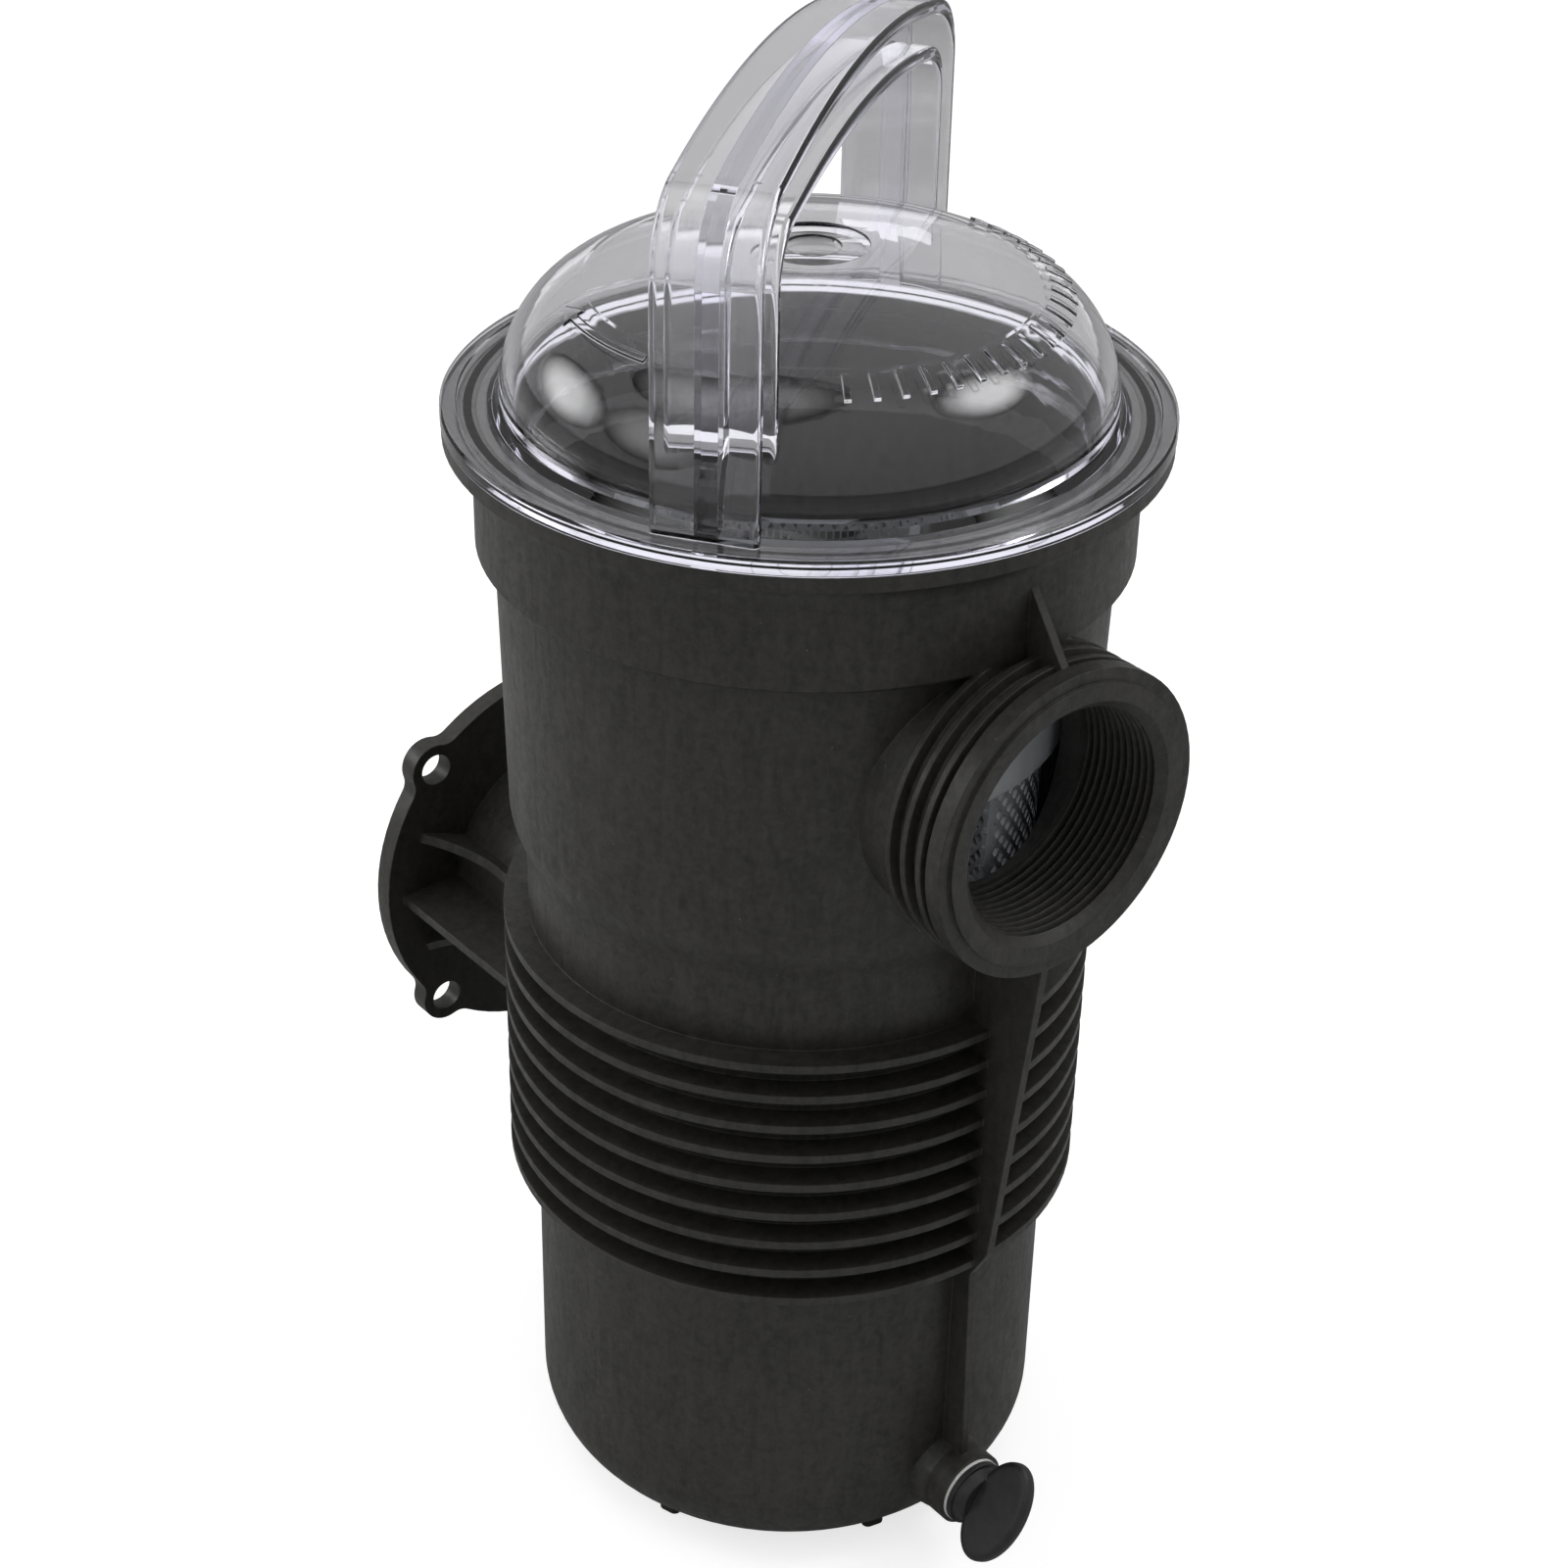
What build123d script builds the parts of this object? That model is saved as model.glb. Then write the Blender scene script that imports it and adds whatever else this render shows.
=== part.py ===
"""Strainer pot of a swimming-pool pump: pot, screw-down clear lid, basket and drain plug.

Millimetres, +Z up. The pot's axis is the Z axis and its flat underside is z = 0.
The suction port looks along -Y and the pump flange along +Y.
"""
from build123d import *

import os
from math import atan2, cos, degrees, radians, sin

os.makedirs("parts", exist_ok=True)

# ---- pot barrel -----------------------------------------------------------
WALL = 4.5
LOW_R = 67.0            # lower barrel, outside
CORE_R = 68.2           # barrel between the cooling fins
MID_R = 72.0            # upper barrel at its bottom, with draft up to TOP_R
TOP_R = 73.6
COLLAR_R = 78.0
RIM_R = 84.8
BASE_CORNER = 18.0
LID_TOP_Z = 305.0       # upper face of the lid flange
RIM_Z = 301.5           # sealing face of the pot rim
RIM_UNDER_Z = 291.0
COLLAR_Z = 269.5
STEP_TOP_Z = 200.6
STEP_LOW_Z = 184.0
FLOOR = 5.0
COLLAR_BORE_R = 74.5
UPPER_BORE_R = 67.5
LOWER_BORE_R = LOW_R - WALL

# ---- fins -----------------------------------------------------------------
FIN_COUNT = 9
FIN_PITCH = 8.84
FIN_THICK = 2.2
FIN_R = 74.3
FIN_LOW_Z = 94.7        # underside of the lowest fin
FIN_TOP_Z = FIN_LOW_Z + (FIN_COUNT - 1) * FIN_PITCH + FIN_THICK

# ---- suction port ---------------------------------------------------------
PORT_Z = 234.6
PORT_END = 93.5         # pot axis to the port's end face
PORT_ROOT_R = 35.6
PORT_CREST_R = 38.2
PORT_RING = 4.4         # width of the plain ring behind the end face
UNION_PITCH = 5.08
UNION_RIDGES = 3
SEAL_LAND_R = 35.0
SEAL_LAND_H = 0.8
PIPE_MINOR_R = 28.3     # crest of the internal pipe thread
PIPE_DEPTH = 1.7
PIPE_PITCH = 2.209
PIPE_TURNS = 10
PIPE_MOUTH_R = 30.6
PIPE_MOUTH = 2.2
PORT_BORE_R = 27.5

# ---- pump flange ----------------------------------------------------------
FLANGE_Z = 127.0
FLANGE_NEAR = 109.2
FLANGE_THICK = 5.6
FLANGE_FACE = FLANGE_NEAR + FLANGE_THICK
FLANGE_R = 54.7
EAR_PCR = 53.0          # radius of the bolt circle
EAR_R = 7.4
BOLT_R = 4.5
NECK_R = 32.0
OUTLET_R = 26.0
GROOVE_R = 36.0
GROOVE_W = 4.0
GROOVE_DEPTH = 2.6
RIB_THICK = 2.6
WEB_REACH = 50.0
GUSSET_ANGLES = (-22.5, 22.5, 157.5, 202.5)
GUSSET_TIP = 47.0        # from the neck's axis, at the flange plate
GUSSET_BACK = 36.0       # and further back, towards the barrel

# ---- drain ----------------------------------------------------------------
DRAIN_Z = 20.3
BOSS_R = 10.3
BOSS_END = 77.3
BOSS_ROOT_R = 14.0
DRAIN_HOLE_R = 6.6
PLUG_R = 6.5
GASKET_R = 9.2
GASKET_THICK = 0.8
PLUG_HEAD_R = 9.0
PLUG_HEAD = 1.4
PLUG_CONE_R = 8.0
PLUG_CONE = 2.4
WING_HALF = 14.2
WING_THICK = 4.8
WING_EDGE = 1.8
WING_END = 96.4
WING_TILT = 37.0
SHANK_END = 61.0
PLUG_THREADS = 7
PLUG_PITCH = 1.41

# ---- lid ------------------------------------------------------------------
LID_R = 85.0
LID_THICK = 3.2
LID_LIP = 0.5            # raised outer border of the flange
DOME_R = 71.5
DOME_RISE = 35.0
DOME_CORNER = 28.0       # radius where the dome's side turns into its crown
DOME_BASE = 2.5
DOME_WALL = 3.2
SKIRT_LOW_Z = 289.0
LUG_COUNT = 4
LUG_TIP_R = 74.1
LUG_SPAN = 30.0
POT_LUG_R = 71.9
POT_LUG_SPAN = 46.0
LUG_TURN = 40.0         # from seated to locked, clockwise seen from above
POT_LUG_LOW_Z = 294.0
POT_LUG_HIGH_Z = 297.0
LUG_GAP = 0.3

# Raised bars and a curved arrow on the dome.
MARK_R = 57.0
BAR_START = -122.0
BAR_SPAN = 128.0
BAR_COUNT = 22
BAR_LENGTH = 6.2
BAR_WIDTH = 1.5
ARROW_START = -196.0     # the arrow's tip side, clockwise seen from above
ARROW_SPAN = 28.0
ARROW_HEAD = 5.0
MARK_RAISE = 0.6
MARK_ROOT = 1.0          # how deep the marks reach into the dome's wall
GATE_R = 13.0            # shallow round recess at the dome's top
GATE_CORE_R = 6.5
GATE_DEPTH = 0.5

# ---- lid handle -----------------------------------------------------------
HANDLE_AZ = -145.7
HANDLE_HALF = 79.0      # half the outer span
HANDLE_TOP = 83.2       # above the lid flange
HANDLE_SPRING = 57.0    # where the legs start to bend
HANDLE_CORNER = 18.5
HANDLE_SINK = 0.35      # per mm of inset, how much lower the inner lines start to bend
HANDLE_TIGHTEN = 0.5    # and how much tighter they bend
HANDLE_DEPTH = 14.5
HANDLE_SKIN = 3.5
HANDLE_HALF_W = 12.1
HANDLE_EDGE = 1.3
WEB_HALF = 2.6

# ---- o-ring ---------------------------------------------------------------
ORING_R = 78.6
ORING_SECTION_R = 1.8
ORING_HALF_H = 1.5
ORING_GROOVE_W = 4.4

# ---- basket ---------------------------------------------------------------
BASKET_TOP_Z = 237.0
BAND_LOW_Z = 225.0
BAND_R = 64.8
SCREEN_R = 61.5
SCREEN_LOW_R = 56.5
BASKET_LOW_Z = 78.0
SCREEN_WALL = 1.2            # thin, as the mesh is half open
WINDOW_AZ = -106.0
WINDOW_SPAN = 49.0
WINDOW_LOW_Z = 190.0


def polar(radius, azimuth, z=0.0):
    """A point given by its radius and azimuth about the pot's axis."""
    return (radius * cos(radians(azimuth)), radius * sin(radians(azimuth)), z)


def ring_sector(inner, outer, start, span):
    """A flat ring sector, from the start azimuth round by span degrees."""
    end = start + span
    with BuildSketch() as sector:
        with BuildLine():
            CenterArc((0, 0), outer, start, span)
            Line(polar(outer, end)[:2], polar(inner, end)[:2])
            CenterArc((0, 0), inner, start, span)
            Line(polar(inner, start)[:2], polar(outer, start)[:2])
        make_face()
    return sector.sketch


def crown_of(half_width, rise, corner):
    """For a low arch with a corner arc: the crown arc's radius, and the angle where they meet smoothly."""
    crown = ((half_width - corner) ** 2 + rise**2 - corner**2) / (2 * (rise - corner))
    return crown, degrees(atan2(crown - rise, half_width - corner))


# Planes that look out along the port, the pump flange and the drain.
port_plane = Plane(origin=(0, 0, PORT_Z), x_dir=(1, 0, 0), z_dir=(0, -1, 0))
flange_plane = Plane(origin=(0, 0, FLANGE_Z), x_dir=(-1, 0, 0), z_dir=(0, 1, 0))
drain_plane = Plane(origin=(0, 0, DRAIN_Z), x_dir=(1, 0, 0), z_dir=(0, -1, 0))

# ---- pot body -------------------------------------------------------------
with BuildPart() as pot_body:
    # Barrel, collar and rim in one turned outline.
    with BuildSketch(Plane.XZ):
        with BuildLine():
            Line((0, 0), (LOW_R - BASE_CORNER, 0))
            RadiusArc((LOW_R - BASE_CORNER, 0), (LOW_R, BASE_CORNER), -BASE_CORNER)
            Line((LOW_R, BASE_CORNER), (LOW_R, FIN_LOW_Z))
            Line((LOW_R, FIN_LOW_Z), (CORE_R, STEP_LOW_Z))
            Spline((CORE_R, STEP_LOW_Z), (MID_R, STEP_TOP_Z), tangents=((0, 1), (0, 1)))
            Polyline(
                (MID_R, STEP_TOP_Z),
                (TOP_R, COLLAR_Z),
                (COLLAR_R - 1.0, COLLAR_Z),
                (COLLAR_R, COLLAR_Z + 1.0),
                (COLLAR_R, RIM_UNDER_Z),
            )
            RadiusArc((COLLAR_R, RIM_UNDER_Z), (RIM_R, RIM_UNDER_Z + 6.8), 6.8)
            Line((RIM_R, RIM_UNDER_Z + 6.8), (RIM_R, RIM_Z))
            Line((RIM_R, RIM_Z), (0, RIM_Z))
            Line((0, RIM_Z), (0, 0))
        make_face()
    revolve(axis=Axis.Z)

    # Cooling and stiffening fins.
    for i in range(FIN_COUNT):
        with BuildSketch(Plane.XY.offset(FIN_LOW_Z + i * FIN_PITCH)):
            Circle(FIN_R)
            Circle(LOW_R - 1.0, mode=Mode.SUBTRACT)
        extrude(amount=FIN_THICK)

    # Suction port: root tube, plain end ring, raised sealing land.
    with BuildSketch(port_plane.offset(50.0)):
        Circle(PORT_ROOT_R)
    extrude(amount=PORT_END - 50.0)
    with BuildSketch(port_plane.offset(PORT_END - PORT_RING)):
        Circle(PORT_CREST_R)
    extrude(amount=PORT_RING)
    with BuildSketch(port_plane.offset(PORT_END)):
        Circle(SEAL_LAND_R)
    extrude(amount=SEAL_LAND_H)

    # Pump flange: neck, plate and four bolt ears.
    with BuildSketch(flange_plane.offset(50.0)):
        Circle(NECK_R)
    extrude(amount=FLANGE_NEAR - 50.0)
    with BuildSketch(flange_plane.offset(FLANGE_NEAR)) as plate:
        Circle(FLANGE_R)
        with PolarLocations(EAR_PCR, 4, start_angle=45):
            Circle(EAR_R)
        fillet(plate.vertices(), radius=5.0)
    extrude(amount=FLANGE_THICK)

    # Level webs from the flange back to the barrel, one on each side of the neck.
    with BuildSketch(Plane.XY.offset(FLANGE_Z - RIB_THICK / 2)):
        with Locations((0, (FLANGE_NEAR + 30.0) / 2)):
            Rectangle(2 * WEB_REACH, FLANGE_NEAR - 30.0 + 1.0)
    extrude(amount=RIB_THICK)

    # Curved gussets from the flange plate along the neck to the barrel.
    for tilt in GUSSET_ANGLES:
        gusset_plane = Plane(
            origin=(0, 0, FLANGE_Z),
            x_dir=(cos(radians(tilt)), 0, sin(radians(tilt))),
            z_dir=(-sin(radians(tilt)), 0, cos(radians(tilt))),
        )
        with BuildSketch(gusset_plane):
            with BuildLine():
                Line((GUSSET_TIP, FLANGE_NEAR + 1.0), (GUSSET_TIP, FLANGE_NEAR - 1.0))
                ThreePointArc(
                    (GUSSET_TIP, FLANGE_NEAR - 1.0),
                    (GUSSET_TIP - 6.5, FLANGE_NEAR - 6.5),
                    (GUSSET_BACK, FLANGE_NEAR - 24.0),
                )
                Polyline(
                    (GUSSET_BACK, FLANGE_NEAR - 24.0),
                    (GUSSET_BACK, 60.0),
                    (NECK_R - 3.0, 60.0),
                    (NECK_R - 3.0, FLANGE_NEAR + 1.0),
                    (GUSSET_TIP, FLANGE_NEAR + 1.0),
                )
            make_face()
        extrude(amount=RIB_THICK / 2, both=True)

    # Gussets in the port's plane: long one down to the drain, short one up to the rim.
    with BuildSketch(Plane.YZ):
        with BuildLine():
            Polyline(
                (-(PORT_END - 2.5), PORT_Z - 34.0),
                (-78.6, 101.0),
                (-73.0, 91.0),
                (-74.6, DRAIN_Z + 6.0),
                (-55.0, DRAIN_Z + 4.0),
                (-55.0, PORT_Z - 34.0),
                close=True,
            )
        make_face()
        with BuildLine():
            Polyline(
                (-(PORT_END - 3.6), PORT_Z + 37.0),
                (-77.6, 288.5),
                (-70.0, 288.5),
                (-70.0, PORT_Z + 34.0),
                (-(PORT_END - 3.6), PORT_Z + 34.0),
                close=True,
            )
        make_face()
    extrude(amount=1.1, both=True)

    # Drain boss with a wider root.
    with BuildSketch(drain_plane.offset(50.0)):
        Circle(BOSS_R)
    extrude(amount=BOSS_END - 50.0)
    with BuildSketch(drain_plane.offset(54.0)):
        Circle(BOSS_ROOT_R)
    with BuildSketch(drain_plane.offset(71.0)):
        Circle(BOSS_R)
    loft()

    # Feet under the rounded base.
    with BuildSketch(Plane.XY.offset(-3.0)):
        with PolarLocations(54.5, 6, start_angle=-103):
            SlotOverall(6.0, 3.4, rotation=90)
    extrude(amount=9.0)

    # Inside of the pot.
    with BuildSketch(Plane.XZ):
        with BuildLine():
            Line((0, FLOOR), (LOWER_BORE_R - BASE_CORNER + WALL, FLOOR))
            RadiusArc(
                (LOWER_BORE_R - BASE_CORNER + WALL, FLOOR),
                (LOWER_BORE_R, FLOOR + BASE_CORNER - WALL),
                -(BASE_CORNER - WALL),
            )
            Polyline(
                (LOWER_BORE_R, FLOOR + BASE_CORNER - WALL),
                (LOWER_BORE_R + 1.0, STEP_LOW_Z),
                (UPPER_BORE_R, STEP_TOP_Z),
                (UPPER_BORE_R + 1.5, COLLAR_Z + 4.0),
                (COLLAR_BORE_R, COLLAR_Z + 9.0),
                (COLLAR_BORE_R, RIM_Z + 5.0),
                (0, RIM_Z + 5.0),
                (0, FLOOR),
            )
        make_face()
    revolve(axis=Axis.Z, mode=Mode.SUBTRACT)

    # Port: bored through to the pot, with pipe-thread grooves behind the mouth.
    with BuildSketch(port_plane.offset(30.0)):
        Circle(PORT_BORE_R)
    extrude(amount=PORT_END - 30.0 + 2.0, mode=Mode.SUBTRACT)
    thread_start = PORT_END + SEAL_LAND_H - PIPE_MOUTH - PIPE_TURNS * PIPE_PITCH - 0.4
    with BuildSketch(port_plane.offset(thread_start)):
        Circle(PIPE_MINOR_R)
    extrude(amount=PORT_END + 2.0 - thread_start, mode=Mode.SUBTRACT)
    with BuildSketch(port_plane.offset(PORT_END + SEAL_LAND_H - PIPE_MOUTH)):
        Circle(PIPE_MINOR_R)
    with BuildSketch(port_plane.offset(PORT_END + SEAL_LAND_H)):
        Circle(PIPE_MOUTH_R)
    loft(mode=Mode.SUBTRACT)
    groove_plane = Plane(origin=(0, 0, PORT_Z), x_dir=(1, 0, 0), z_dir=(0, 0, 1))
    with BuildSketch(groove_plane):
        for i in range(PIPE_TURNS):
            y = -(thread_start + 0.4 + (i + 0.5) * PIPE_PITCH)
            with BuildLine():
                Polyline(
                    (PIPE_MINOR_R - 0.01, y - PIPE_PITCH * 0.42),
                    (PIPE_MINOR_R + PIPE_DEPTH, y),
                    (PIPE_MINOR_R - 0.01, y + PIPE_PITCH * 0.42),
                    close=True,
                )
            make_face()
    revolve(axis=Axis((0, 0, PORT_Z), (0, 1, 0)), mode=Mode.SUBTRACT)

    # Union thread outside the port: coarse ridges with a steep front flank.
    with BuildSketch(groove_plane):
        for i in range(UNION_RIDGES):
            y = -(PORT_END - PORT_RING - (i + 0.5) * UNION_PITCH)
            with BuildLine():
                Polyline(
                    (PORT_ROOT_R - 1.0, y - 1.3),
                    (PORT_ROOT_R, y - 1.3),
                    (PORT_CREST_R, y - 0.8),
                    (PORT_CREST_R, y + 0.8),
                    (PORT_ROOT_R, y + 1.9),
                    (PORT_ROOT_R - 1.0, y + 1.9),
                    close=True,
                )
            make_face()
    revolve(axis=Axis((0, 0, PORT_Z), (0, 1, 0)))

    # Outlet to the pump, seal groove in the flange face and four bolt holes.
    with BuildSketch(flange_plane.offset(30.0)):
        Circle(OUTLET_R)
    extrude(amount=FLANGE_FACE - 30.0 + 1.0, mode=Mode.SUBTRACT)
    with BuildSketch(flange_plane.offset(FLANGE_FACE - GROOVE_DEPTH)):
        Circle(GROOVE_R + GROOVE_W / 2)
        Circle(GROOVE_R - GROOVE_W / 2, mode=Mode.SUBTRACT)
    extrude(amount=GROOVE_DEPTH + 1.0, mode=Mode.SUBTRACT)
    with BuildSketch(flange_plane.offset(FLANGE_NEAR - 1.0)):
        with PolarLocations(EAR_PCR, 4, start_angle=45):
            Circle(BOLT_R)
    extrude(amount=FLANGE_THICK + 2.0, mode=Mode.SUBTRACT)

    # Drain hole.
    with BuildSketch(drain_plane.offset(40.0)):
        Circle(DRAIN_HOLE_R)
    extrude(amount=BOSS_END - 40.0 + 1.0, mode=Mode.SUBTRACT)

    # Seal groove in the rim.
    with BuildSketch(Plane.XY.offset(RIM_Z - 2 * ORING_HALF_H + LUG_GAP)):
        Circle(ORING_R + ORING_GROOVE_W / 2)
        Circle(ORING_R - ORING_GROOVE_W / 2, mode=Mode.SUBTRACT)
    extrude(amount=5.0, mode=Mode.SUBTRACT)

    # Bayonet lugs under the rim, each with a stop, and pads that carry the basket.
    for i in range(LUG_COUNT):
        far = HANDLE_AZ + 45.0 + i * 90.0 - LUG_TURN + 17.0
        with BuildSketch(Plane.XY.offset(POT_LUG_LOW_Z)):
            add(ring_sector(POT_LUG_R, COLLAR_BORE_R + 1.0, far - POT_LUG_SPAN, POT_LUG_SPAN))
        extrude(amount=POT_LUG_HIGH_Z - POT_LUG_LOW_Z)
        with BuildSketch(Plane.XY.offset(POT_LUG_LOW_Z - 5.0)):
            add(ring_sector(POT_LUG_R, COLLAR_BORE_R + 1.0, far - POT_LUG_SPAN, 4.0))
        extrude(amount=5.0)
        with BuildSketch(Plane.XY.offset(STEP_TOP_Z)):
            add(ring_sector(62.0, UPPER_BORE_R + 1.0, 45.0 + i * 90.0 - 4.0, 8.0))
        extrude(amount=BAND_LOW_Z - STEP_TOP_Z)
pot_body.part.label = "pot_body"
export_step(pot_body.part, "parts/pot_body.step")


# ---- lid ------------------------------------------------------------------
dome_z = LID_TOP_Z + DOME_BASE


def dome_outline(outwards):
    """Half the dome's outline, moved outwards: a corner arc, then a crown arc up to the axis."""
    crown, meet = crown_of(DOME_R, DOME_RISE, DOME_CORNER)
    with BuildLine() as outline:
        CenterArc((DOME_R - DOME_CORNER, dome_z), DOME_CORNER + outwards, 0, meet)
        CenterArc((0, dome_z + DOME_RISE - crown), crown + outwards, meet, 90 - meet)
    return outline.line


def handle_area(inset):
    """The area under the handle's arch, with its outer line moved in by inset."""
    span = HANDLE_HALF - inset
    spring = HANDLE_SPRING - HANDLE_SINK * inset
    rise = HANDLE_TOP - inset - spring
    corner = HANDLE_CORNER - HANDLE_TIGHTEN * inset
    crown, meet = crown_of(span, rise, corner)
    with BuildSketch() as area:
        with BuildLine():
            Line((span, -1.0), (span, spring))
            CenterArc((span - corner, spring), corner, 0, meet)
            CenterArc((0, spring + rise - crown), crown, meet, 180 - 2 * meet)
            CenterArc((corner - span, spring), corner, 180 - meet, meet)
            Line((-span, spring), (-span, -1.0))
            Line((-span, -1.0), (span, -1.0))
        make_face()
    return area.sketch


handle_plane = Plane(
    origin=(0, 0, LID_TOP_Z),
    x_dir=polar(1.0, HANDLE_AZ),
    z_dir=polar(1.0, HANDLE_AZ - 90.0),
)


def handle_strip(inset):
    """One of the handle's two strips, with rounded edges."""
    with BuildPart() as strip:
        with BuildSketch(handle_plane):
            add(handle_area(inset))
            add(handle_area(inset + HANDLE_SKIN), mode=Mode.SUBTRACT)
        extrude(amount=HANDLE_HALF_W, both=True)
        sides = strip.faces().filter_by(lambda face: abs(face.normal_at().dot(handle_plane.z_dir)) > 0.99)
        fillet(sides.edges(), radius=HANDLE_EDGE)
    return strip.part


inner_r = DOME_R - DOME_WALL
inner_rise = DOME_RISE - DOME_WALL
arrow_tip = polar(MARK_R, ARROW_START - 6.0)
with BuildPart() as lid_marks:
    with BuildSketch(Plane.XY.offset(dome_z)):
        bars = PolarLocations(MARK_R, BAR_COUNT, BAR_START, BAR_SPAN, endpoint=True)
        with bars:
            Rectangle(BAR_LENGTH, BAR_WIDTH)
        half = BAR_WIDTH / 2
        add(ring_sector(MARK_R - half, MARK_R + half, ARROW_START, ARROW_SPAN))
        with BuildLine():
            Polyline(
                arrow_tip[:2],
                polar(MARK_R - ARROW_HEAD / 2, ARROW_START)[:2],
                polar(MARK_R + ARROW_HEAD / 2, ARROW_START)[:2],
                close=True,
            )
        make_face()
    extrude(amount=DOME_RISE)
    with BuildSketch(Plane.XZ):
        with BuildLine():
            add(dome_outline(MARK_RAISE))
            Line((DOME_R + MARK_RAISE, dome_z), (DOME_R - MARK_ROOT, dome_z))
            add(dome_outline(-MARK_ROOT))
            Line((0, dome_z + DOME_RISE - MARK_ROOT), (0, dome_z + DOME_RISE + MARK_RAISE))
        make_face()
    revolve(axis=Axis.Z, mode=Mode.INTERSECT)

with BuildPart() as lid:
    # Handle, an I section: outer strip, inner strip and the web between them.
    add(handle_strip(0.0))
    add(handle_strip(HANDLE_DEPTH - HANDLE_SKIN))
    with BuildSketch(handle_plane):
        add(handle_area(HANDLE_SKIN / 2))
        add(handle_area(HANDLE_DEPTH - HANDLE_SKIN / 2), mode=Mode.SUBTRACT)
    extrude(amount=WEB_HALF, both=True)
    # Nothing of these reaches into the hollow of the dome.
    with BuildSketch(Plane.XZ):
        with BuildLine():
            add(dome_outline(1.0 - DOME_WALL))
            Line((0, dome_z + inner_rise + 1.0), (0, SKIRT_LOW_Z))
            Line((0, SKIRT_LOW_Z), (inner_r + 1.0, SKIRT_LOW_Z))
            Line((inner_r + 1.0, SKIRT_LOW_Z), (inner_r + 1.0, dome_z))
        make_face()
    revolve(axis=Axis.Z, mode=Mode.SUBTRACT)
    # Dome, flange and skirt in one turned outline.
    with BuildSketch(Plane.XZ):
        with BuildLine():
            add(dome_outline(0.0))
            Polyline(
                (DOME_R, dome_z),
                (DOME_R + 0.6, LID_TOP_Z + 1.2),
                (DOME_R + 2.6, LID_TOP_Z),
                (LID_R - 4.0, LID_TOP_Z),
                (LID_R - 3.6, LID_TOP_Z + LID_LIP),
                (LID_R - 0.6, LID_TOP_Z + LID_LIP),
                (LID_R, LID_TOP_Z + LID_LIP - 0.6),
                (LID_R, LID_TOP_Z - LID_THICK),
                (DOME_R, LID_TOP_Z - LID_THICK),
                (DOME_R, SKIRT_LOW_Z),
                (inner_r, SKIRT_LOW_Z),
                (inner_r, dome_z),
            )
            add(dome_outline(-DOME_WALL))
            Line((0, dome_z + inner_rise), (0, dome_z + DOME_RISE))
        make_face()
    revolve(axis=Axis.Z)
    add(lid_marks.part)
    # Shallow round recess at the top.
    with BuildSketch(Plane.XY.offset(dome_z + DOME_RISE - 2 * GATE_DEPTH)):
        Circle(GATE_R)
    extrude(amount=2 * GATE_DEPTH, mode=Mode.SUBTRACT)
    with BuildSketch(Plane.XY.offset(dome_z + DOME_RISE - 3 * GATE_DEPTH)):
        Circle(GATE_CORE_R)
    extrude(amount=GATE_DEPTH, mode=Mode.SUBTRACT)
    # Bayonet lugs on the skirt.
    lug_top = POT_LUG_LOW_Z - LUG_GAP
    for i in range(LUG_COUNT):
        middle = HANDLE_AZ + 45.0 + i * 90.0
        with BuildSketch(Plane.XY.offset(SKIRT_LOW_Z)):
            add(ring_sector(DOME_R - 1.0, LUG_TIP_R, middle - LUG_SPAN / 2, LUG_SPAN))
        extrude(amount=lug_top - SKIRT_LOW_Z)
lid.part.label = "lid"
export_step(lid.part, "parts/lid.step")

# ---- lid o-ring -----------------------------------------------------------
with BuildPart() as lid_o_ring:
    with BuildSketch(Plane.XZ):
        with Locations((ORING_R, LID_TOP_Z - LID_THICK - ORING_HALF_H)):
            Circle(ORING_SECTION_R)
            Rectangle(2 * ORING_SECTION_R, 2 * ORING_HALF_H, mode=Mode.INTERSECT)
    revolve(axis=Axis.Z)
lid_o_ring.part.label = "lid_o_ring"
export_step(lid_o_ring.part, "parts/lid_o_ring.step")

# ---- strainer basket ------------------------------------------------------
with BuildPart() as strainer_basket:
    # Solid band on top, tapered screen and floor.
    with BuildSketch(Plane.XZ):
        with BuildLine():
            Polyline(
                (SCREEN_LOW_R - 4.0, BASKET_LOW_Z),
                (SCREEN_LOW_R, BASKET_LOW_Z + 4.0),
                (SCREEN_R, BAND_LOW_Z),
                (BAND_R, BAND_LOW_Z),
                (BAND_R, BASKET_TOP_Z),
                (BAND_R - 2.0, BASKET_TOP_Z),
                (BAND_R - 2.0, BAND_LOW_Z + 2.0),
                (SCREEN_R - SCREEN_WALL, BAND_LOW_Z + 2.0),
                (SCREEN_LOW_R - SCREEN_WALL, BASKET_LOW_Z + 5.0),
                (SCREEN_LOW_R - 5.0, BASKET_LOW_Z + 2.0),
                (0, BASKET_LOW_Z + 2.0),
                (0, BASKET_LOW_Z),
                (SCREEN_LOW_R - 4.0, BASKET_LOW_Z),
            )
        make_face()
    revolve(axis=Axis.Z)
    # Inlet window towards the suction port.
    with BuildSketch(Plane.XY.offset(WINDOW_LOW_Z)):
        add(ring_sector(SCREEN_R - 12.0, SCREEN_R + 1.0, WINDOW_AZ - WINDOW_SPAN / 2, WINDOW_SPAN))
    extrude(amount=BAND_LOW_Z - WINDOW_LOW_Z, mode=Mode.SUBTRACT)
strainer_basket.part.label = "strainer_basket"
export_step(strainer_basket.part, "parts/strainer_basket.step")

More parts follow.
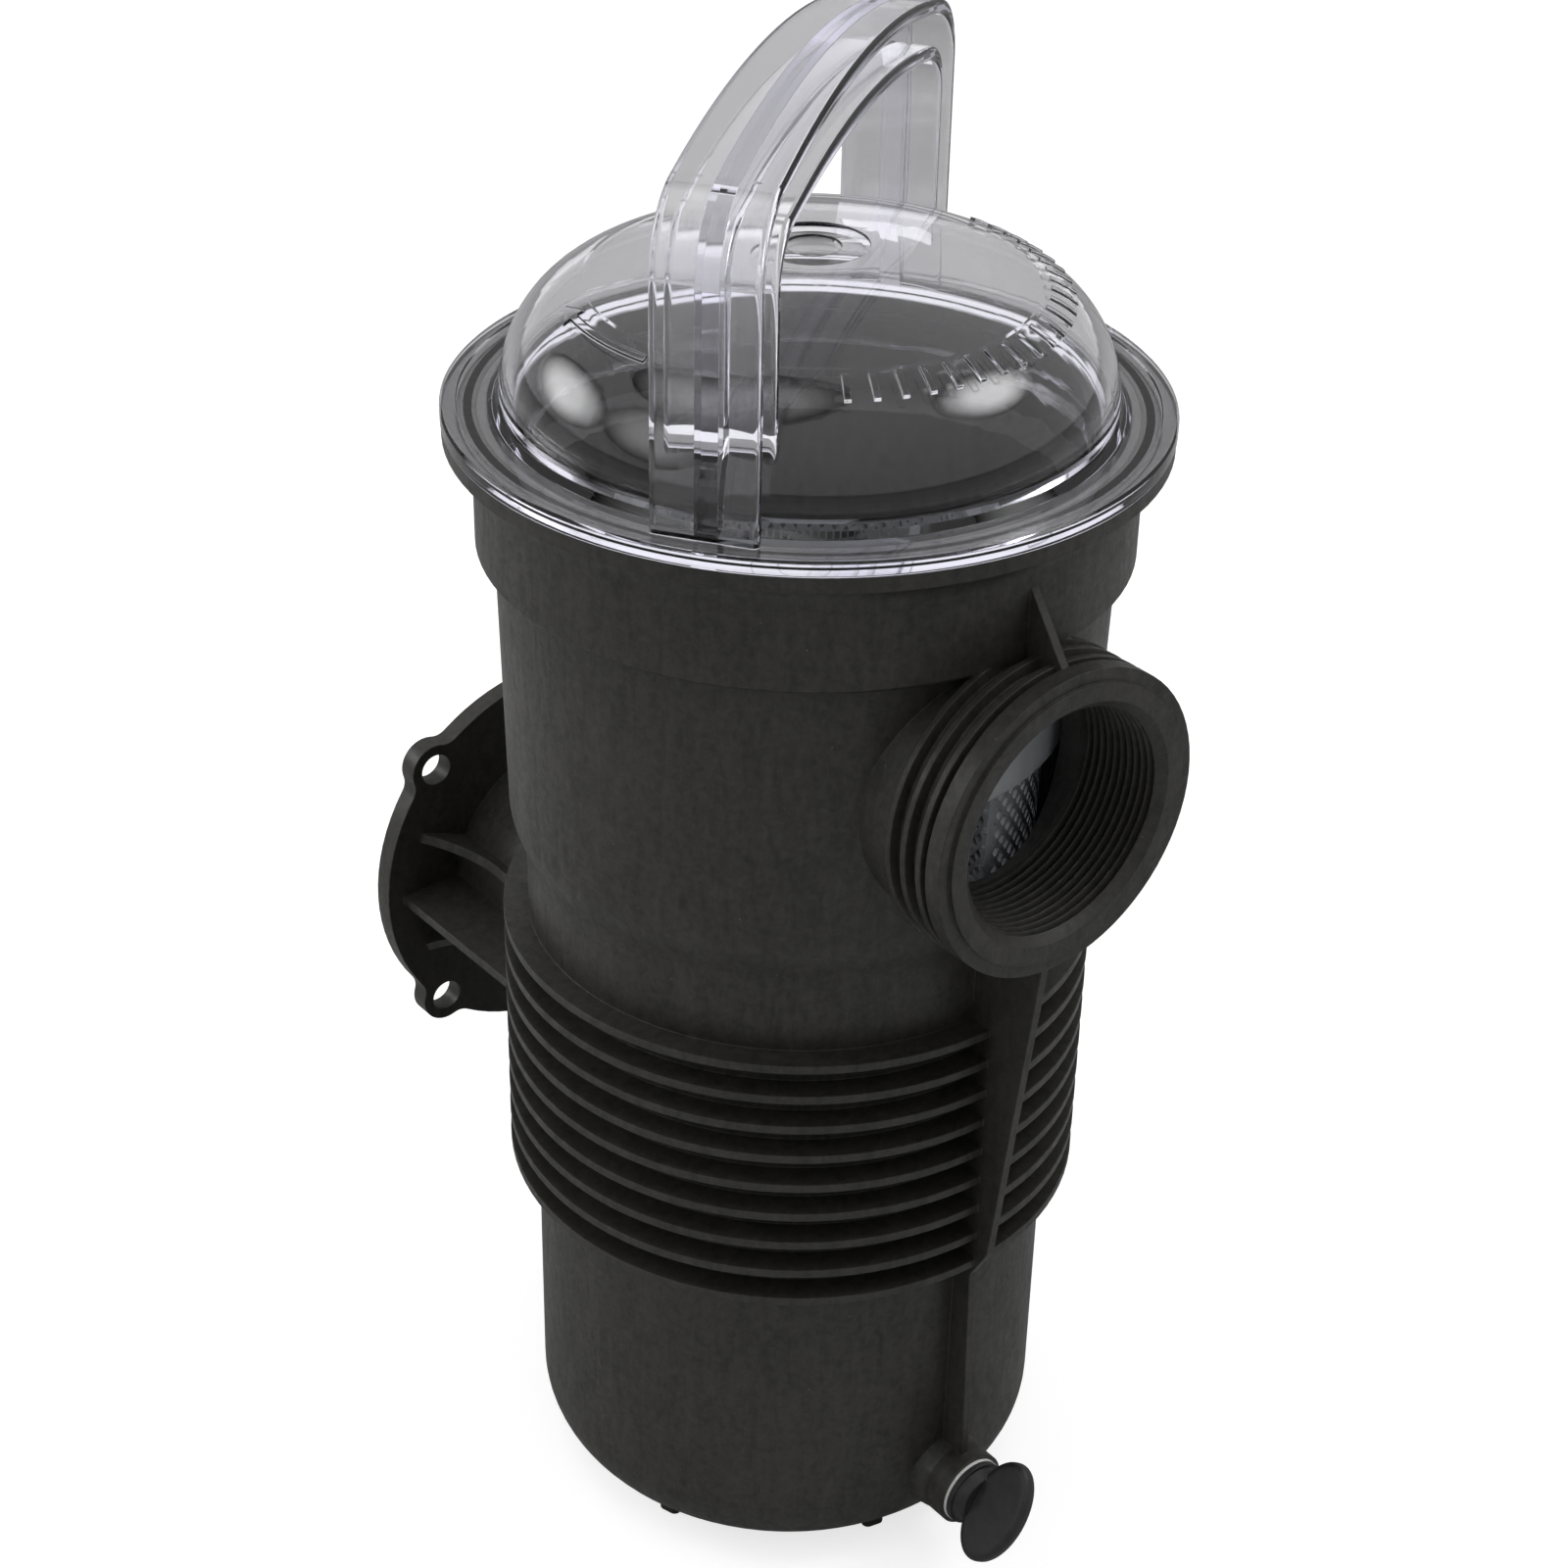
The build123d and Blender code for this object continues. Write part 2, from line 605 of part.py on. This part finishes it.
# ---- drain gasket and plug ------------------------------------------------
with BuildPart() as drain_gasket:
    with BuildSketch(drain_plane.offset(BOSS_END)):
        Circle(GASKET_R)
        Circle(PLUG_R + 0.3, mode=Mode.SUBTRACT)
    extrude(amount=GASKET_THICK)
drain_gasket.part.label = "drain_gasket"
export_step(drain_gasket.part, "parts/drain_gasket.step")

plug_head_start = BOSS_END + GASKET_THICK
wing_middle = (plug_head_start + PLUG_HEAD + WING_END) / 2
wing_plane = Plane(
    origin=(0, -wing_middle, DRAIN_Z),
    x_dir=(0, -1, 0),
    z_dir=(cos(radians(WING_TILT)), 0, -sin(radians(WING_TILT))),
)
with BuildPart() as wing:
    with BuildSketch(wing_plane):
        Ellipse(WING_END - wing_middle, WING_HALF)
    extrude(amount=WING_THICK / 2, both=True)
    fillet(wing.edges(), radius=WING_EDGE)

with BuildPart() as drain_plug:
    # Threaded shank with a tapered nose.
    with BuildSketch(drain_plane.offset(SHANK_END)):
        Circle(PLUG_R)
    extrude(amount=plug_head_start - SHANK_END)
    chamfer(drain_plug.faces().sort_by(Axis.Y)[-1].edges(), length=1.2)
    for i in range(PLUG_THREADS):
        y = SHANK_END + 3.0 + i * PLUG_PITCH
        with BuildSketch(drain_plane.offset(y)):
            Circle(PLUG_R + 1.0)
            Circle(PLUG_R - 0.6, mode=Mode.SUBTRACT)
        extrude(amount=PLUG_PITCH / 2, mode=Mode.SUBTRACT)
    # Round head, a cone in front of it and the flat oval wing.
    with BuildSketch(drain_plane.offset(plug_head_start)):
        Circle(PLUG_HEAD_R)
    extrude(amount=PLUG_HEAD)
    with BuildSketch(drain_plane.offset(plug_head_start + PLUG_HEAD)):
        Circle(PLUG_CONE_R)
    extrude(amount=PLUG_CONE, taper=40)
    add(wing.part)
drain_plug.part.label = "drain_plug"
export_step(drain_plug.part, "parts/drain_plug.step")
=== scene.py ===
"""Looks of the strainer pot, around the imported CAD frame. Metres, +Z up."""
from math import cos, pi, radians, sin

import bmesh
import bpy
from mathutils import Matrix, Vector

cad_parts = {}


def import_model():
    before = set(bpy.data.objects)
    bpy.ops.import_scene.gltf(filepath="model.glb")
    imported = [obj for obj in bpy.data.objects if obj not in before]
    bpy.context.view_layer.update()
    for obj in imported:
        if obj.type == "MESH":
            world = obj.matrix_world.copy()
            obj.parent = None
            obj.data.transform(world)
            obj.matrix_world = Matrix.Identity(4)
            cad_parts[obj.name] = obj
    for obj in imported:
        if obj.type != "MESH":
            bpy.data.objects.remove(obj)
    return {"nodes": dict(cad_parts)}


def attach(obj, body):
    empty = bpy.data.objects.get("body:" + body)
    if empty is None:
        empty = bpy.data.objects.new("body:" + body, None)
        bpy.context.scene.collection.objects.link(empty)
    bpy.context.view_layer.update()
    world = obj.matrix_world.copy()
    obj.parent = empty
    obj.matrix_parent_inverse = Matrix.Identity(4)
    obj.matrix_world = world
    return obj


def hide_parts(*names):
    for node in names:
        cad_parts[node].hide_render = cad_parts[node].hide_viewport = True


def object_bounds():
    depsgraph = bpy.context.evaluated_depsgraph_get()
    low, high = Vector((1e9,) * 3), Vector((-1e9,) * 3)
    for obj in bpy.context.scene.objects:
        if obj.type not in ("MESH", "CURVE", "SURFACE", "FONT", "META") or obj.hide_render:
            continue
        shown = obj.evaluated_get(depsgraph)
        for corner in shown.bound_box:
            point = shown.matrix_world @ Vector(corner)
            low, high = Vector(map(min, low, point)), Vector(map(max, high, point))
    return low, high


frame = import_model()
cad_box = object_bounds()

MM = 0.001

# ---- camera, as the product is seen ---------------------------------------
LID_TOP_Z = 0.305
CAMERA_AZIMUTH = -129.8
CAMERA_OUT = 0.6474
CAMERA_UP = 0.2912
CAMERA_TILT = 31.5       # degrees below level
CAMERA_PAN = -0.29
CAMERA_ROLL = 1.455
CAMERA_LENS = 70.1
SENSOR = 36.0

# ---- studio ----------------------------------------------------------------
LIGHT_OUT = 1.5          # from the lid's top to each light
LIGHT_CORE = 0.35        # share of a light's radius that is fully bright
LIGHTS = (
    # name, azimuth, elevation, radius, glow, how much wider than high
    ("light_back_left", 127.0, 17.0, 0.44, 5.0, 1.3),
    ("light_right", -32.0, 46.0, 0.42, 6.5, 1.2),
    ("light_left", -190.0, 25.0, 0.60, 2.0, 1.0),
    ("light_top", 150.0, 72.0, 0.75, 2.2, 1.0),
)
ROOM_LOW = 0.16          # the room's brightness low down
ROOM_HIGH = 0.75         # and overhead
ROOM_HORIZON = -0.2      # height of direction where it starts to brighten
FLOOR_SIZE = 12.0
FLOOR_GLOW = 0.72        # lifts the floor to white in the picture


# ---- node helpers ----------------------------------------------------------
class Shader:
    """A material under construction, with short calls for its nodes."""

    def __init__(self, name):
        self.material = bpy.data.materials.new(name)
        self.material.use_nodes = True
        self.tree = self.material.node_tree
        self.bsdf = self.tree.nodes["Principled BSDF"]
        self.output = self.tree.nodes["Material Output"]

    def set(self, **values):
        """Sets the shader's own sockets; an underscore stands for a space."""
        for name, value in values.items():
            self.bsdf.inputs[name.replace("_", " ")].default_value = value

    def link(self, source, target):
        self.tree.links.new(source, target)

    def node(self, kind, **settings):
        made = self.tree.nodes.new(kind)
        for name, value in settings.items():
            setattr(made, name, value)
        return made

    def place(self, scale=(1, 1, 1)):
        """Object coordinates, stretched."""
        coords = self.node("ShaderNodeTexCoord")
        mapping = self.node("ShaderNodeMapping")
        mapping.inputs["Scale"].default_value = scale
        self.link(coords.outputs["Object"], mapping.inputs["Vector"])
        return mapping.outputs["Vector"]

    def noise(self, scale, detail=4.0, rough=0.55, stretch=(1, 1, 1), distort=0.0):
        made = self.node("ShaderNodeTexNoise")
        made.inputs["Scale"].default_value = scale
        made.inputs["Detail"].default_value = detail
        made.inputs["Roughness"].default_value = rough
        made.inputs["Distortion"].default_value = distort
        self.link(self.place(stretch), made.inputs["Vector"])
        return made.outputs["Fac"]

    def spread(self, value, low, high, to_low=0.0, to_high=1.0):
        made = self.node("ShaderNodeMapRange")
        made.inputs["From Min"].default_value = low
        made.inputs["From Max"].default_value = high
        made.inputs["To Min"].default_value = to_low
        made.inputs["To Max"].default_value = to_high
        self.link(value, made.inputs["Value"])
        return made.outputs["Result"]

    def blend(self, factor, first, second):
        """Mixes two colours by a factor; either colour may be a socket."""
        made = self.node("ShaderNodeMix", data_type="RGBA")
        self.link(factor, made.inputs["Factor"])
        for socket, colour in (("A", first), ("B", second)):
            target = [i for i in made.inputs if i.name == socket and i.type == "RGBA"][0]
            if isinstance(colour, tuple):
                target.default_value = (*colour, 1.0)
            else:
                self.link(colour, target)
        return [o for o in made.outputs if o.type == "RGBA"][0]

    def total(self, first, second, share=1.0):
        """first + share * second."""
        scaled = self.node("ShaderNodeMath", operation="MULTIPLY_ADD")
        scaled.inputs[1].default_value = share
        self.link(second, scaled.inputs[0])
        self.link(first, scaled.inputs[2])
        return scaled.outputs[0]

    def colour(self, socket):
        self.link(socket, self.bsdf.inputs["Base Color"])

    def roughness(self, socket):
        self.link(socket, self.bsdf.inputs["Roughness"])

    def bump(self, height, strength, depth, round_edges=0.0):
        made = self.node("ShaderNodeBump")
        made.inputs["Strength"].default_value = strength
        made.inputs["Distance"].default_value = depth
        self.link(height, made.inputs["Height"])
        if round_edges:
            edge = self.node("ShaderNodeBevel", samples=6)
            edge.inputs["Radius"].default_value = round_edges
            self.link(edge.outputs["Normal"], made.inputs["Normal"])
        self.link(made.outputs["Normal"], self.bsdf.inputs["Normal"])


# ---- materials -------------------------------------------------------------
def pot_plastic():
    """Charcoal glass-filled plastic: fine fibrous mottling, faint flow streaks, few pale specks."""
    s = Shader("pot_plastic")
    mottle = s.noise(420.0, detail=8.0, rough=0.72, distort=0.6)
    streak = s.noise(260.0, detail=6.0, rough=0.7, stretch=(1.0, 1.0, 0.22), distort=0.8)
    cloud = s.noise(28.0, detail=3.0, rough=0.5)
    grain = s.noise(1900.0, detail=3.0, rough=0.6)
    mixed = s.total(s.total(mottle, streak, 0.8), cloud, 0.25)
    base = s.blend(s.spread(mixed, 0.82, 1.22), (0.0105, 0.0098, 0.0086), (0.0335, 0.0318, 0.0285))
    speck = s.spread(s.noise(640.0, detail=1.0), 0.80, 0.84)
    s.colour(s.blend(speck, base, (0.085, 0.080, 0.074)))
    s.roughness(s.spread(mixed, 0.8, 1.25, 0.52, 0.38))
    s.bump(s.total(mottle, grain, 0.6), 0.22, 0.2 * MM, round_edges=0.45 * MM)
    s.set(Specular_IOR_Level=0.5, IOR=1.5)
    return s.material


def clear_plastic():
    """Clear polycarbonate with a faint violet cast and light scuffs."""
    s = Shader("clear_plastic")
    scuff = s.noise(340.0, detail=5.0, rough=0.7, stretch=(1.0, 0.35, 1.0), distort=1.2)
    haze = s.spread(scuff, 0.55, 0.8, 0.015, 0.09)
    s.roughness(haze)
    tint = s.spread(s.noise(30.0), 0.3, 0.7)
    s.colour(s.blend(tint, (0.994, 0.994, 0.998), (0.999, 0.999, 1.0)))
    s.bump(s.noise(55.0, detail=2.0), 0.02, 0.3 * MM, round_edges=0.3 * MM)
    s.set(Transmission_Weight=1.0, IOR=1.49)
    depth = s.node("ShaderNodeVolumeAbsorption")
    depth.inputs["Color"].default_value = (0.74, 0.71, 0.99, 1.0)
    depth.inputs["Density"].default_value = 16.0
    s.link(depth.outputs["Volume"], s.output.inputs["Volume"])
    return s.material


def seal_rubber():
    """Black rubber with a dusty surface."""
    s = Shader("seal_rubber")
    dust = s.noise(420.0, detail=6.0, rough=0.7)
    s.colour(s.blend(s.spread(dust, 0.4, 0.75), (0.012, 0.012, 0.012), (0.035, 0.034, 0.033)))
    s.roughness(s.spread(dust, 0.3, 0.7, 0.5, 0.65))
    s.bump(dust, 0.2, 0.1 * MM)
    return s.material


def basket_plastic():
    """Translucent grey polypropylene."""
    s = Shader("basket_plastic")
    cloud = s.noise(90.0, detail=4.0)
    s.colour(s.blend(s.spread(cloud, 0.35, 0.7), (0.50, 0.52, 0.55), (0.62, 0.64, 0.67)))
    s.roughness(s.spread(cloud, 0.3, 0.7, 0.36, 0.46))
    s.bump(s.noise(900.0, detail=3.0), 0.1, 0.1 * MM, round_edges=0.3 * MM)
    s.set(Subsurface_Weight=0.35, Subsurface_Scale=1.5 * MM, Subsurface_Radius=(1.0, 1.0, 1.0))
    return s.material


def gasket_rubber():
    """White rubber, a little soiled."""
    s = Shader("gasket_rubber")
    dust = s.noise(600.0, detail=5.0, rough=0.65)
    s.colour(s.blend(s.spread(dust, 0.35, 0.75), (0.80, 0.80, 0.79), (0.62, 0.61, 0.60)))
    s.roughness(s.spread(dust, 0.3, 0.7, 0.55, 0.7))
    s.bump(dust, 0.15, 0.1 * MM, round_edges=0.2 * MM)
    return s.material


def plug_plastic():
    """Near-black moulded plastic with a fine grain."""
    s = Shader("plug_plastic")
    mottle = s.noise(300.0, detail=5.0, rough=0.6)
    s.colour(s.blend(s.spread(mottle, 0.35, 0.75), (0.010, 0.010, 0.011), (0.026, 0.025, 0.025)))
    s.roughness(s.spread(mottle, 0.3, 0.7, 0.42, 0.55))
    s.bump(s.noise(1400.0, detail=3.0), 0.12, 0.15 * MM, round_edges=0.5 * MM)
    return s.material


def dress(node, material):
    mesh = frame["nodes"][node].data
    mesh.materials.clear()
    mesh.materials.append(material)


for node, make in {
    "pot_body": pot_plastic,
    "lid": clear_plastic,
    "lid_o_ring": seal_rubber,
    "drain_gasket": gasket_rubber,
    "drain_plug": plug_plastic,
}.items():
    dress(node, make())


# ---- strainer basket ---------------------------------------------------------
BASKET_TOP_Z = 0.237
BAND_LOW_Z = 0.225
BAND_R = 0.0648
SCREEN_R = 0.0592
SCREEN_LOW_R = 0.0556
SCREEN_LOW_Z = 0.082
FLOOR_Z = 0.078
MESH_COUNT = 84          # strands each way round
CELL_HEIGHT = 5.2 * MM
STRAND_HALF_W = 0.62 * MM
STRAND_HALF_T = 0.55 * MM
WINDOW_AZ = -106.0
WINDOW_SPAN = 49.0
WINDOW_LOW_Z = 0.152
POST_GAP = 1.2           # degrees from the window's edge to its post
POST_MIDDLE_Z = 0.19
STAVES = 8
STAVE_STEPS = 12
STAVE_HALF_W = 1.8 * MM
HOOP_STEPS = 120
HOOP_HALF_H = 1.1 * MM
FLOOR_PITCH = 5.0 * MM


def screen_radius(z):
    share = (z - SCREEN_LOW_Z) / (BAND_LOW_Z - SCREEN_LOW_Z)
    return SCREEN_LOW_R + (SCREEN_R - SCREEN_LOW_R) * share


def on_screen(azimuth, z):
    """A point on the basket's screen."""
    r = screen_radius(z)
    return Vector((r * cos(radians(azimuth)), r * sin(radians(azimuth)), z))


def outward(point):
    return Vector((point.x, point.y, 0)).normalized()


def in_window(azimuth, z):
    away = (azimuth - WINDOW_AZ + 180.0) % 360.0 - 180.0
    return abs(away) < WINDOW_SPAN / 2 and z > WINDOW_LOW_Z


def strip(mesh, path, half_w, half_t, closed=False):
    """A bar of rectangular section along a path on the screen, its thickness pointing outwards."""
    rings = []
    count = len(path)
    for i, point in enumerate(path):
        before = path[i - 1] if i or closed else path[i]
        after = path[(i + 1) % count] if i < count - 1 or closed else path[i]
        side = (after - before).normalized().cross(outward(point)).normalized()
        up = outward(point) * half_t
        across = side * half_w
        corners = (
            point - across - up,
            point + across - up,
            point + across + up,
            point - across + up,
        )
        rings.append([mesh.verts.new(c) for c in corners])
    spans = count if closed else count - 1
    for i in range(spans):
        first = rings[i]
        second = rings[(i + 1) % count]
        for k in range(4):
            mesh.faces.new((first[k], first[(k + 1) % 4], second[(k + 1) % 4], second[k]))
    if not closed:
        mesh.faces.new(reversed(rings[0]))
        mesh.faces.new(rings[-1])


def runs_outside_window(azimuths_and_heights):
    """Splits a path into the stretches that the inlet window leaves."""
    run = []
    for azimuth, z in azimuths_and_heights:
        if in_window(azimuth, z):
            if len(run) > 1:
                yield run
            run = []
        else:
            run.append(on_screen(azimuth, z))
    if len(run) > 1:
        yield run


def turned(mesh, outline, steps=120):
    """A closed ring turned from an outline of (radius, z) points."""
    rings = []
    for i in range(steps):
        a = 2 * pi * i / steps
        rings.append([mesh.verts.new((r * cos(a), r * sin(a), z)) for r, z in outline])
    for i in range(steps):
        first = rings[i]
        second = rings[(i + 1) % steps]
        for k in range(len(outline)):
            n = (k + 1) % len(outline)
            mesh.faces.new((first[k], second[k], second[n], first[n]))


def box(mesh, low, high, angle=0.0):
    """A box, turned about the Z axis."""
    spin = Matrix.Rotation(radians(angle), 3, "Z")
    corners = []
    for z in (low[2], high[2]):
        for x, y in ((low[0], low[1]), (high[0], low[1]), (high[0], high[1]), (low[0], high[1])):
            corners.append(mesh.verts.new(spin @ Vector((x, y, z))))
    for face in ((0, 3, 2, 1), (4, 5, 6, 7), (0, 1, 5, 4), (1, 2, 6, 5), (2, 3, 7, 6), (3, 0, 4, 7)):
        mesh.faces.new([corners[k] for k in face])


def basket():
    """Moulded basket: solid band, diamond mesh with staves and hoops, meshed floor."""
    mesh = bmesh.new()
    height = BAND_LOW_Z - SCREEN_LOW_Z
    rows = int(height / CELL_HEIGHT * 2)
    for way in (-1, 1):
        for k in range(MESH_COUNT):
            path = []
            for row in range(rows + 1):
                azimuth = 360.0 * (k + way * row / 2) / MESH_COUNT
                path.append((azimuth, SCREEN_LOW_Z + height * row / rows))
            for run in runs_outside_window(path):
                strip(mesh, run, STRAND_HALF_W, STRAND_HALF_T)
    for k in range(STAVES):
        azimuth = WINDOW_AZ + 360.0 * (k + 0.5) / STAVES
        path = [
            (azimuth, SCREEN_LOW_Z + height * i / STAVE_STEPS)
            for i in range(STAVE_STEPS + 1)
        ]
        for run in runs_outside_window(path):
            strip(mesh, run, STAVE_HALF_W, STRAND_HALF_T * 1.3)
    hoop_heights = (
        SCREEN_LOW_Z + HOOP_HALF_H,
        WINDOW_LOW_Z - height / 4,
        WINDOW_LOW_Z - HOOP_HALF_H,
    )
    for z in hoop_heights:
        path = [on_screen(360.0 * i / HOOP_STEPS, z) for i in range(HOOP_STEPS)]
        strip(mesh, path, HOOP_HALF_H, STRAND_HALF_T * 1.3, closed=True)
    for side in (-1, 1):
        azimuth = WINDOW_AZ + side * (WINDOW_SPAN / 2 + POST_GAP)
        heights = (WINDOW_LOW_Z - HOOP_HALF_H, POST_MIDDLE_Z, BAND_LOW_Z + 1 * MM)
        path = [on_screen(azimuth, z) for z in heights]
        strip(mesh, path, STAVE_HALF_W * 0.7, STRAND_HALF_T * 1.3)
    band = (
        (SCREEN_R - 0.9 * MM, BAND_LOW_Z - 0.4 * MM),
        (BAND_R - 0.5 * MM, BAND_LOW_Z),
        (BAND_R, BAND_LOW_Z + 0.6 * MM),
        (BAND_R, BASKET_TOP_Z - 0.6 * MM),
        (BAND_R - 0.5 * MM, BASKET_TOP_Z),
        (BAND_R - 1.6 * MM, BASKET_TOP_Z),
        (BAND_R - 2.0 * MM, BASKET_TOP_Z - 0.6 * MM),
        (BAND_R - 2.0 * MM, BAND_LOW_Z + 2.6 * MM),
        (SCREEN_R - 0.9 * MM, BAND_LOW_Z + 1.8 * MM),
    )
    turned(mesh, band)
    foot = (
        (SCREEN_LOW_R - 3.6 * MM, FLOOR_Z),
        (SCREEN_LOW_R + 0.2 * MM, FLOOR_Z + 3.4 * MM),
        (SCREEN_LOW_R + 0.2 * MM, SCREEN_LOW_Z + 1 * MM),
        (SCREEN_LOW_R - 1.4 * MM, SCREEN_LOW_Z + 1 * MM),
        (SCREEN_LOW_R - 4.6 * MM, FLOOR_Z + 2 * MM),
        (SCREEN_LOW_R - 8.0 * MM, FLOOR_Z + 2 * MM),
        (SCREEN_LOW_R - 8.0 * MM, FLOOR_Z),
    )
    turned(mesh, foot)
    reach = SCREEN_LOW_R - 6.0 * MM
    lines = int(2 * reach / FLOOR_PITCH)
    for angle in (45.0, 135.0):
        for i in range(lines):
            across = -reach + FLOOR_PITCH * (i + 0.7)
            along = (reach**2 - across**2) ** 0.5 if abs(across) < reach else 0.0
            low = (-along, across - STRAND_HALF_W, FLOOR_Z + 0.2 * MM)
            high = (along, across + STRAND_HALF_W, FLOOR_Z + 1.6 * MM)
            if along > FLOOR_PITCH:
                box(mesh, low, high, angle)
    made = bpy.data.objects.new("basket_mesh", bpy.data.meshes.new("basket_mesh"))
    bmesh.ops.recalc_face_normals(mesh, faces=mesh.faces)
    mesh.to_mesh(made.data)
    mesh.free()
    bpy.context.scene.collection.objects.link(made)
    made.data.materials.append(basket_plastic())
    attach(made, "basket")
    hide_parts("strainer_basket")


basket()


# ---- studio ------------------------------------------------------------------
def floor():
    """A plain pale floor, white in the picture and dim to the object's underside."""
    bpy.ops.mesh.primitive_plane_add(size=FLOOR_SIZE, location=(0, 0, cad_box[0].z))
    plane = bpy.context.object
    plane.name = "floor"
    s = Shader("floor_white")
    s.colour(s.blend(s.noise(2.0), (0.50, 0.50, 0.50), (0.53, 0.53, 0.53)))
    s.set(Roughness=0.9, Specular_IOR_Level=0.0, Emission_Color=(1, 1, 1, 1))
    path = s.node("ShaderNodeLightPath")
    glow = s.spread(path.outputs["Is Camera Ray"], 0, 1, 0.0, FLOOR_GLOW)
    s.link(glow, s.bsdf.inputs["Emission Strength"])
    plane.data.materials.append(s.material)


def world():
    """White behind the object; for light and reflections a dim room, brighter overhead."""
    made = bpy.data.worlds.new("studio")
    made.use_nodes = True
    nodes = made.node_tree.nodes
    link = made.node_tree.links.new
    room = nodes["Background"]
    coords = nodes.new("ShaderNodeTexCoord")
    parts = nodes.new("ShaderNodeSeparateXYZ")
    height = nodes.new("ShaderNodeMapRange")
    height.inputs["From Min"].default_value = ROOM_HORIZON
    height.inputs["To Min"].default_value = ROOM_LOW
    height.inputs["To Max"].default_value = ROOM_HIGH
    link(coords.outputs["Generated"], parts.inputs["Vector"])
    link(parts.outputs["Z"], height.inputs["Value"])
    link(height.outputs["Result"], room.inputs["Strength"])
    room.inputs["Color"].default_value = (1.0, 1.0, 1.0, 1.0)
    white = nodes.new("ShaderNodeBackground")
    white.inputs["Color"].default_value = (1.0, 1.0, 1.0, 1.0)
    path = nodes.new("ShaderNodeLightPath")

    def calc(operation, first, second):
        step = nodes.new("ShaderNodeMath")
        step.operation = operation
        link(first, step.inputs[0])
        if isinstance(second, float):
            step.inputs[1].default_value = second
        else:
            link(second, step.inputs[1])
        return step.outputs[0]

    # What the camera sees directly, or through the clear lid, is the white.
    through = calc("GREATER_THAN", path.outputs["Transmission Depth"], 0.5)
    straight = calc("LESS_THAN", path.outputs["Diffuse Depth"], 0.5)
    clear = calc("MULTIPLY", through, straight)
    seen = calc("MAXIMUM", path.outputs["Is Camera Ray"], clear)
    mix = nodes.new("ShaderNodeMixShader")
    link(seen, mix.inputs["Fac"])
    link(room.outputs[0], mix.inputs[1])
    link(white.outputs[0], mix.inputs[2])
    link(mix.outputs[0], nodes["World Output"].inputs["Surface"])
    bpy.context.scene.world = made
    bpy.context.scene.view_settings.view_transform = "Standard"


def soft_box(name, azimuth, elevation, radius, glow, widen):
    """A round studio light that fades towards its edge, seen only by what it lights."""
    mesh = bmesh.new()
    bmesh.ops.create_circle(mesh, cap_ends=True, segments=64, radius=radius)
    panel = bpy.data.objects.new(name, bpy.data.meshes.new(name))
    mesh.to_mesh(panel.data)
    mesh.free()
    around = radians(azimuth)
    rise = radians(elevation)
    away = Vector((cos(around) * cos(rise), sin(around) * cos(rise), sin(rise)))
    spin = away.to_track_quat("Z", "Y").to_matrix().to_4x4()
    stretch = Matrix.Diagonal((widen, 1.0, 1.0, 1.0))
    place = Matrix.Translation(Vector((0, 0, LID_TOP_Z)) + away * LIGHT_OUT)
    panel.matrix_world = place @ spin @ stretch
    s = Shader(name)
    coords = s.node("ShaderNodeTexCoord")
    reach = s.node("ShaderNodeVectorMath", operation="LENGTH")
    s.link(coords.outputs["Object"], reach.inputs[0])
    fade = s.spread(reach.outputs["Value"], radius * LIGHT_CORE, radius, glow, 0.0)
    s.link(fade, s.bsdf.inputs["Emission Strength"])
    s.set(Base_Color=(0, 0, 0, 1), Emission_Color=(1, 1, 1, 1))
    panel.data.materials.append(s.material)
    panel.visible_camera = False
    panel.visible_shadow = False
    bpy.context.scene.collection.objects.link(panel)


def camera():
    """The camera at the product picture's angle, from its distance, tilt, pan and roll."""
    turn = Matrix.Rotation(radians(CAMERA_AZIMUTH + 90.0), 3, "Z")
    tilt = radians(CAMERA_TILT)
    pan = radians(CAMERA_PAN)
    roll = radians(CAMERA_ROLL)
    right = Vector((1, 0, 0))
    ahead = Vector((0, cos(tilt), -sin(tilt)))
    up = Vector((0, sin(tilt), cos(tilt)))
    panned_right = right * cos(pan) - ahead * sin(pan)
    panned_ahead = ahead * cos(pan) + right * sin(pan)
    rolled_right = panned_right * cos(roll) + up * sin(roll)
    rolled_up = up * cos(roll) - panned_right * sin(roll)
    axes = [turn @ v for v in (rolled_right, rolled_up, -panned_ahead)]
    data = bpy.data.cameras.new("camera")
    data.lens = CAMERA_LENS
    data.sensor_width = SENSOR
    made = bpy.data.objects.new("camera", data)
    made.matrix_world = Matrix.Translation(
        turn @ Vector((0, -CAMERA_OUT, CAMERA_UP)) + Vector((0, 0, LID_TOP_Z))
    ) @ Matrix(axes).transposed().to_4x4()
    bpy.context.scene.collection.objects.link(made)
    bpy.context.scene.camera = made


floor()
world()
for light in LIGHTS:
    soft_box(*light)
camera()
